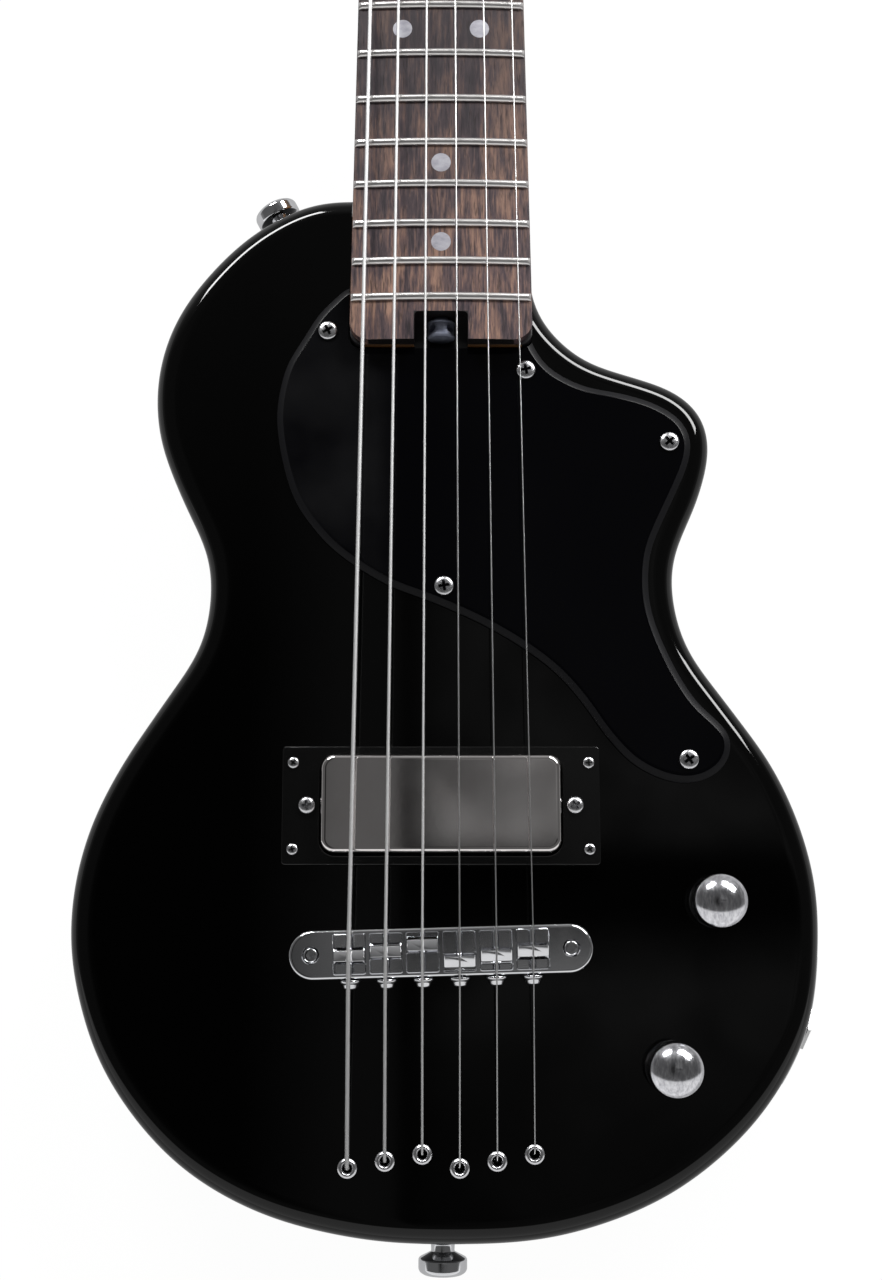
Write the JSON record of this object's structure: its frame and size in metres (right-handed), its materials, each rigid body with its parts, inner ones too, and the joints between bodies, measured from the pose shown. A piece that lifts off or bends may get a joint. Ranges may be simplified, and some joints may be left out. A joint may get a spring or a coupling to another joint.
{
  "type": "travel guitar",
  "caption": "Short-scale solid-body electric travel guitar with a bolt-on neck, a humbucker in a ring, an adjustable bridge, a pickguard, two knobs and strings through the body.",
  "frame": {"origin": "on the flat back of the body, on the centre line, under the end of the string scale where the bridge is", "axes": "+X towards the treble side, +Y along the neck towards the head, +Z out of the front, towards the strings"},
  "size_m": [0.2195, 0.7985, 0.0545],
  "materials": {
    "body_lacquer": "gloss black lacquer over wood",
    "neck_wood": "clear satin lacquer",
    "fretboard_wood": "oiled dark hardwood with nickel frets pressed in",
    "black_plastic": "polished black sheet",
    "nut_plastic": "ivory coloured",
    "coil_plastic": "plain black",
    "chrome": "polished",
    "nickel": "polished nickel",
    "string_steel": "wound bass strings and plain treble strings",
    "dark_steel": "darkened",
    "plain_steel": "plated"
  },
  "bodies": {
    "guitar": {"body": "body_lacquer", "neck": "neck_wood", "fretboard": "fretboard_wood", "nut": "nut_plastic", "pickguard": "black_plastic", "pickup_ring": "black_plastic", "neck_plate": "chrome", "control_cover": "black_plastic", "jack_plate": "chrome", "volume_pot": "plain_steel", "tone_pot": "plain_steel", "output_jack": "plain_steel", "strap_button_tail": "chrome", "strap_button_horn": "chrome", "tuner_housing_1": "chrome", "tuner_housing_2": "chrome", "tuner_housing_3": "chrome", "tuner_housing_4": "chrome", "tuner_housing_5": "chrome", "tuner_housing_6": "chrome", "string_1": "string_steel", "string_2": "string_steel", "string_3": "string_steel", "string_4": "string_steel", "string_5": "string_steel", "string_6": "string_steel"},
    "truss_rod": {"truss_rod": "dark_steel"},
    "pickup": {"pickup_cover": "nickel", "pickup_coils": "coil_plastic"},
    "pickup_screw_bass": {"pickup_screw_bass": "chrome"},
    "pickup_screw_treble": {"pickup_screw_treble": "chrome"},
    "volume_knob": {"volume_knob": "chrome"},
    "tone_knob": {"tone_knob": "chrome"},
    "bridge": {"bridge_body": "chrome"},
    "bridge_post_bass": {"bridge_post_bass": "chrome"},
    "bridge_post_treble": {"bridge_post_treble": "chrome"},
    "saddle_1": {"saddle_1": "chrome"},
    "saddle_screw_1": {"saddle_screw_1": "chrome"},
    "tuner_post_1": {"tuner_post_1": "chrome"},
    "tuner_button_1": {"tuner_button_1": "chrome"},
    "saddle_2": {"saddle_2": "chrome"},
    "saddle_screw_2": {"saddle_screw_2": "chrome"},
    "tuner_post_2": {"tuner_post_2": "chrome"},
    "tuner_button_2": {"tuner_button_2": "chrome"},
    "saddle_3": {"saddle_3": "chrome"},
    "saddle_screw_3": {"saddle_screw_3": "chrome"},
    "tuner_post_3": {"tuner_post_3": "chrome"},
    "tuner_button_3": {"tuner_button_3": "chrome"},
    "saddle_4": {"saddle_4": "chrome"},
    "saddle_screw_4": {"saddle_screw_4": "chrome"},
    "tuner_post_4": {"tuner_post_4": "chrome"},
    "tuner_button_4": {"tuner_button_4": "chrome"},
    "saddle_5": {"saddle_5": "chrome"},
    "saddle_screw_5": {"saddle_screw_5": "chrome"},
    "tuner_post_5": {"tuner_post_5": "chrome"},
    "tuner_button_5": {"tuner_button_5": "chrome"},
    "saddle_6": {"saddle_6": "chrome"},
    "saddle_screw_6": {"saddle_screw_6": "chrome"},
    "tuner_post_6": {"tuner_post_6": "chrome"},
    "tuner_button_6": {"tuner_button_6": "chrome"}
  },
  "joints": [
    {"name": "volume_turn", "type": "hinge", "parent": "guitar", "child": "volume_knob", "pos_m": [0.07968, 0.01198, 0.04], "axis": [0, 0, 1], "range_deg": [0, 300]},
    {"name": "tone_turn", "type": "hinge", "parent": "guitar", "child": "tone_knob", "pos_m": [0.06595, -0.03489, 0.04], "axis": [0, 0, 1], "range_deg": [0, 300]},
    {"name": "truss_turn", "type": "hinge", "parent": "guitar", "child": "truss_rod", "pos_m": [0, 0.18084, 0.0411], "axis": [0, 1, 0], "range_deg": [-360, 360]},
    {"name": "pickup_height", "type": "slide", "parent": "guitar", "child": "pickup", "axis": [0, 0, 1], "range_m": [-0.003, 0.0025]},
    {"name": "pickup_screw_bass_turn", "type": "hinge", "parent": "guitar", "child": "pickup_screw_bass", "pos_m": [-0.039, 0.0395, 0.0433], "axis": [0, 0, 1], "range_deg": [-1703, 2043]},
    {"name": "pickup_screw_treble_turn", "type": "hinge", "parent": "guitar", "child": "pickup_screw_treble", "pos_m": [0.039, 0.0395, 0.0433], "axis": [0, 0, 1], "range_deg": [-1703, 2043]},
    {"name": "bridge_height", "type": "slide", "parent": "guitar", "child": "bridge", "axis": [0, 0, 1], "range_m": [-0.001, 0.0025], "deforming": ["string_1", "string_2", "string_3", "string_4", "string_5", "string_6"]},
    {"name": "bridge_post_bass_turn", "type": "hinge", "parent": "bridge", "child": "bridge_post_bass", "pos_m": [-0.03699, -0.00333, 0.043], "axis": [0, 0, 1], "range_deg": [-289, 721]},
    {"name": "bridge_post_treble_turn", "type": "hinge", "parent": "bridge", "child": "bridge_post_treble", "pos_m": [0.03699, -0.00127, 0.043], "axis": [0, 0, 1], "range_deg": [-289, 721]},
    {"name": "saddle_1_slide", "type": "slide", "parent": "bridge", "child": "saddle_1", "axis": [-0.0279, 0.9996, 0], "range_m": [-0.00254, 0.00336], "deforming": ["string_1"]},
    {"name": "saddle_screw_1_turn", "type": "hinge", "parent": "bridge", "child": "saddle_screw_1", "pos_m": [-0.02599, -0.00303, 0.0467], "axis": [-0.0279, 0.9996, 0], "range_deg": [-3028, 2285]},
    {"name": "saddle_2_slide", "type": "slide", "parent": "bridge", "child": "saddle_2", "axis": [-0.0279, 0.9996, 0], "range_m": [-0.00348, 0.00242], "deforming": ["string_2"]},
    {"name": "saddle_screw_2_turn", "type": "hinge", "parent": "bridge", "child": "saddle_screw_2", "pos_m": [-0.01559, -0.00274, 0.0467], "axis": [-0.0279, 0.9996, 0], "range_deg": [-2179, 3134]},
    {"name": "saddle_3_slide", "type": "slide", "parent": "bridge", "child": "saddle_3", "axis": [-0.0279, 0.9996, 0], "range_m": [-0.00502, 0.00089], "deforming": ["string_3"]},
    {"name": "saddle_screw_3_turn", "type": "hinge", "parent": "bridge", "child": "saddle_screw_3", "pos_m": [-0.0052, -0.00245, 0.0467], "axis": [-0.0279, 0.9996, 0], "range_deg": [-798, 4515]},
    {"name": "saddle_4_slide", "type": "slide", "parent": "bridge", "child": "saddle_4", "axis": [-0.0279, 0.9996, 0], "range_m": [-0.00009, 0.00581], "deforming": ["string_4"]},
    {"name": "saddle_screw_4_turn", "type": "hinge", "parent": "bridge", "child": "saddle_screw_4", "pos_m": [0.0052, -0.00215, 0.0467], "axis": [-0.0279, 0.9996, 0], "range_deg": [-5232, 82]},
    {"name": "saddle_5_slide", "type": "slide", "parent": "bridge", "child": "saddle_5", "axis": [-0.0279, 0.9996, 0], "range_m": [-0.00147, 0.00443], "deforming": ["string_5"]},
    {"name": "saddle_screw_5_turn", "type": "hinge", "parent": "bridge", "child": "saddle_screw_5", "pos_m": [0.01559, -0.00186, 0.0467], "axis": [-0.0279, 0.9996, 0], "range_deg": [-3984, 1329]},
    {"name": "saddle_6_slide", "type": "slide", "parent": "bridge", "child": "saddle_6", "axis": [-0.0279, 0.9996, 0], "range_m": [-0.00245, 0.00345], "deforming": ["string_6"]},
    {"name": "saddle_screw_6_turn", "type": "hinge", "parent": "bridge", "child": "saddle_screw_6", "pos_m": [0.02599, -0.00157, 0.0467], "axis": [-0.0279, 0.9996, 0], "range_deg": [-3108, 2206]},
    {"name": "tuner_button_1_turn", "type": "hinge", "parent": "guitar", "child": "tuner_button_1", "pos_m": [-0.03025, 0.5966, 0.022], "axis": [1, 0, 0], "continuous": true},
    {"name": "tuner_post_1_turn", "type": "hinge", "parent": "guitar", "child": "tuner_post_1", "pos_m": [-0.02425, 0.5895, 0.022], "axis": [0, 0, 1], "continuous": true},
    {"name": "tuner_button_2_turn", "type": "hinge", "parent": "guitar", "child": "tuner_button_2", "pos_m": [-0.02921, 0.6326, 0.022], "axis": [1, 0, 0], "continuous": true},
    {"name": "tuner_post_2_turn", "type": "hinge", "parent": "guitar", "child": "tuner_post_2", "pos_m": [-0.02321, 0.6255, 0.022], "axis": [0, 0, 1], "continuous": true},
    {"name": "tuner_button_3_turn", "type": "hinge", "parent": "guitar", "child": "tuner_button_3", "pos_m": [-0.02699, 0.6686, 0.022], "axis": [1, 0, 0], "continuous": true},
    {"name": "tuner_post_3_turn", "type": "hinge", "parent": "guitar", "child": "tuner_post_3", "pos_m": [-0.02099, 0.6615, 0.022], "axis": [0, 0, 1], "continuous": true},
    {"name": "tuner_button_4_turn", "type": "hinge", "parent": "guitar", "child": "tuner_button_4", "pos_m": [0.02699, 0.6686, 0.022], "axis": [1, 0, 0], "continuous": true},
    {"name": "tuner_post_4_turn", "type": "hinge", "parent": "guitar", "child": "tuner_post_4", "pos_m": [0.02099, 0.6615, 0.022], "axis": [0, 0, 1], "continuous": true},
    {"name": "tuner_button_5_turn", "type": "hinge", "parent": "guitar", "child": "tuner_button_5", "pos_m": [0.02921, 0.6326, 0.022], "axis": [1, 0, 0], "continuous": true},
    {"name": "tuner_post_5_turn", "type": "hinge", "parent": "guitar", "child": "tuner_post_5", "pos_m": [0.02321, 0.6255, 0.022], "axis": [0, 0, 1], "continuous": true},
    {"name": "tuner_button_6_turn", "type": "hinge", "parent": "guitar", "child": "tuner_button_6", "pos_m": [0.03025, 0.5966, 0.022], "axis": [1, 0, 0], "continuous": true},
    {"name": "tuner_post_6_turn", "type": "hinge", "parent": "guitar", "child": "tuner_post_6", "pos_m": [0.02425, 0.5895, 0.022], "axis": [0, 0, 1], "continuous": true}
  ],
  "couplings": [
    {"joint": "pickup_screw_bass_turn", "follows": "pickup_height", "rad_per_m": -11877},
    {"joint": "pickup_screw_treble_turn", "follows": "pickup_height", "rad_per_m": -11877},
    {"joint": "bridge_post_bass_turn", "follows": "bridge_height", "rad_per_m": 5026.5},
    {"joint": "bridge_post_treble_turn", "follows": "bridge_height", "rad_per_m": 5026.5},
    {"joint": "saddle_screw_1_turn", "follows": "saddle_1_slide", "rad_per_m": -15708},
    {"joint": "saddle_screw_2_turn", "follows": "saddle_2_slide", "rad_per_m": -15708},
    {"joint": "saddle_screw_3_turn", "follows": "saddle_3_slide", "rad_per_m": -15708},
    {"joint": "saddle_screw_4_turn", "follows": "saddle_4_slide", "rad_per_m": -15708},
    {"joint": "saddle_screw_5_turn", "follows": "saddle_5_slide", "rad_per_m": -15708},
    {"joint": "saddle_screw_6_turn", "follows": "saddle_6_slide", "rad_per_m": -15708},
    {"joint": "tuner_post_1_turn", "follows": "tuner_button_1_turn", "ratio": 0.066667},
    {"joint": "tuner_post_2_turn", "follows": "tuner_button_2_turn", "ratio": 0.066667},
    {"joint": "tuner_post_3_turn", "follows": "tuner_button_3_turn", "ratio": 0.066667},
    {"joint": "tuner_post_4_turn", "follows": "tuner_button_4_turn", "ratio": 0.066667},
    {"joint": "tuner_post_5_turn", "follows": "tuner_button_5_turn", "ratio": 0.066667},
    {"joint": "tuner_post_6_turn", "follows": "tuner_button_6_turn", "ratio": 0.066667}
  ]
}
